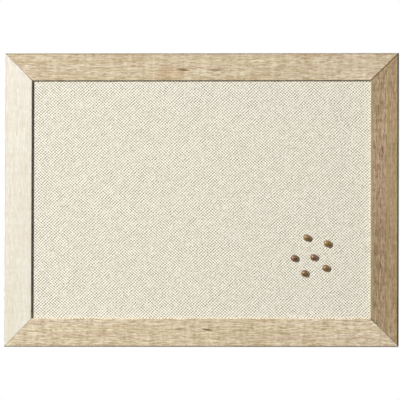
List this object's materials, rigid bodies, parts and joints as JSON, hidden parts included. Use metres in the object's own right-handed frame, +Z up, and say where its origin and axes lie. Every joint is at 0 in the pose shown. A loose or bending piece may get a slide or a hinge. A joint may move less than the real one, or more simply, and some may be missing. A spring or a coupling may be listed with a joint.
{
  "type": "fabric bulletin board",
  "caption": "Linen-covered softboard panel in a wide mitred wood-look frame, with push pins in the front and wire-ring hangers behind.",
  "frame": {"origin": "middle of the wall plane behind the board, which the faces of the rubber bumpers touch", "axes": "+X to the right seen from the front, +Z up, +Y into the wall, so the fabric faces -Y"},
  "size_m": [0.6, 0.0358, 0.447],
  "materials": {
    "wood_foil_top": "pale beige wood-grain foil over fibreboard, satin",
    "wood_foil_bottom": "pale beige wood-grain foil over fibreboard, satin",
    "wood_foil_left": "pale beige wood-grain foil over fibreboard, satin, lightest stretch of the grain",
    "wood_foil_right": "pale beige wood-grain foil over fibreboard, satin, browner stretch of the grain",
    "linen": "natural off-white basket-weave cloth, matt",
    "softboard": "pressed wood-fibre softboard, matt",
    "hardboard": "brown hardboard, smooth face out",
    "nail_steel": "plain bright steel strip",
    "hanger_steel": "zinc-plated steel",
    "bumper_rubber": "soft black rubber, matt",
    "pin_wood_golden": "golden-brown lacquered turned wood",
    "pin_wood_red": "red-brown lacquered turned wood",
    "pin_wood_mid": "mid-brown lacquered turned wood",
    "needle_steel": "polished steel needle"
  },
  "bodies": {
    "board": {"rail_top": "wood_foil_top", "rail_bottom": "wood_foil_bottom", "rail_left": "wood_foil_left", "rail_right": "wood_foil_right", "fabric_cover": "linen", "softboard_core": "softboard", "backing_board": "hardboard", "v_nail_bottom_right_1": "nail_steel", "v_nail_bottom_right_2": "nail_steel", "v_nail_top_right_1": "nail_steel", "v_nail_top_right_2": "nail_steel", "v_nail_top_left_1": "nail_steel", "v_nail_top_left_2": "nail_steel", "v_nail_bottom_left_1": "nail_steel", "v_nail_bottom_left_2": "nail_steel", "framing_point_bottom_1": "nail_steel", "framing_point_bottom_2": "nail_steel", "framing_point_bottom_3": "nail_steel", "framing_point_top_1": "nail_steel", "framing_point_top_2": "nail_steel", "framing_point_top_3": "nail_steel", "framing_point_left_1": "nail_steel", "framing_point_left_2": "nail_steel", "framing_point_right_1": "nail_steel", "framing_point_right_2": "nail_steel", "hanger_strap_left": "hanger_steel", "hanger_strap_right": "hanger_steel", "hanger_screw_left": "hanger_steel", "hanger_screw_right": "hanger_steel", "bumper_top_left": "bumper_rubber", "bumper_top_right": "bumper_rubber", "bumper_bottom_left": "bumper_rubber", "bumper_bottom_right": "bumper_rubber"},
    "ring_left": {"hanger_ring_left": "hanger_steel"},
    "ring_right": {"hanger_ring_right": "hanger_steel"},
    "pin_1": {"pin_head_1": "pin_wood_golden", "pin_needle_1": "needle_steel"},
    "pin_2": {"pin_head_2": "pin_wood_golden", "pin_needle_2": "needle_steel"},
    "pin_3": {"pin_head_3": "pin_wood_red", "pin_needle_3": "needle_steel"},
    "pin_4": {"pin_head_4": "pin_wood_red", "pin_needle_4": "needle_steel"},
    "pin_5": {"pin_head_5": "pin_wood_golden", "pin_needle_5": "needle_steel"},
    "pin_6": {"pin_head_6": "pin_wood_mid", "pin_needle_6": "needle_steel"}
  },
  "joints": [
    {"name": "ring_left_swing", "type": "hinge", "parent": "board", "child": "ring_left", "pos_m": [-0.2705, -0.00205, 0.0745], "axis": [0, 0, 1], "range_deg": [0, 175]},
    {"name": "ring_right_swing", "type": "hinge", "parent": "board", "child": "ring_right", "pos_m": [0.2705, -0.00205, 0.0745], "axis": [0, 0, -1], "range_deg": [0, 175]},
    {"name": "pin_1_pull", "type": "slide", "parent": "board", "child": "pin_1", "axis": [-0.5469, -0.809, 0.2154], "range_m": [0, 0.01]},
    {"name": "pin_2_pull", "type": "slide", "parent": "board", "child": "pin_2", "axis": [-0.5314, -0.7986, 0.2825], "range_m": [0, 0.01]},
    {"name": "pin_3_pull", "type": "slide", "parent": "board", "child": "pin_3", "axis": [-0.4293, -0.891, 0.1478], "range_m": [0, 0.01]},
    {"name": "pin_4_pull", "type": "slide", "parent": "board", "child": "pin_4", "axis": [-0.4855, -0.8572, 0.1719], "range_m": [0, 0.01]},
    {"name": "pin_5_pull", "type": "slide", "parent": "board", "child": "pin_5", "axis": [-0.4808, -0.8572, 0.1846], "range_m": [0, 0.01]},
    {"name": "pin_6_pull", "type": "slide", "parent": "board", "child": "pin_6", "axis": [-0.4585, -0.866, 0.1994], "range_m": [0, 0.01]}
  ]
}
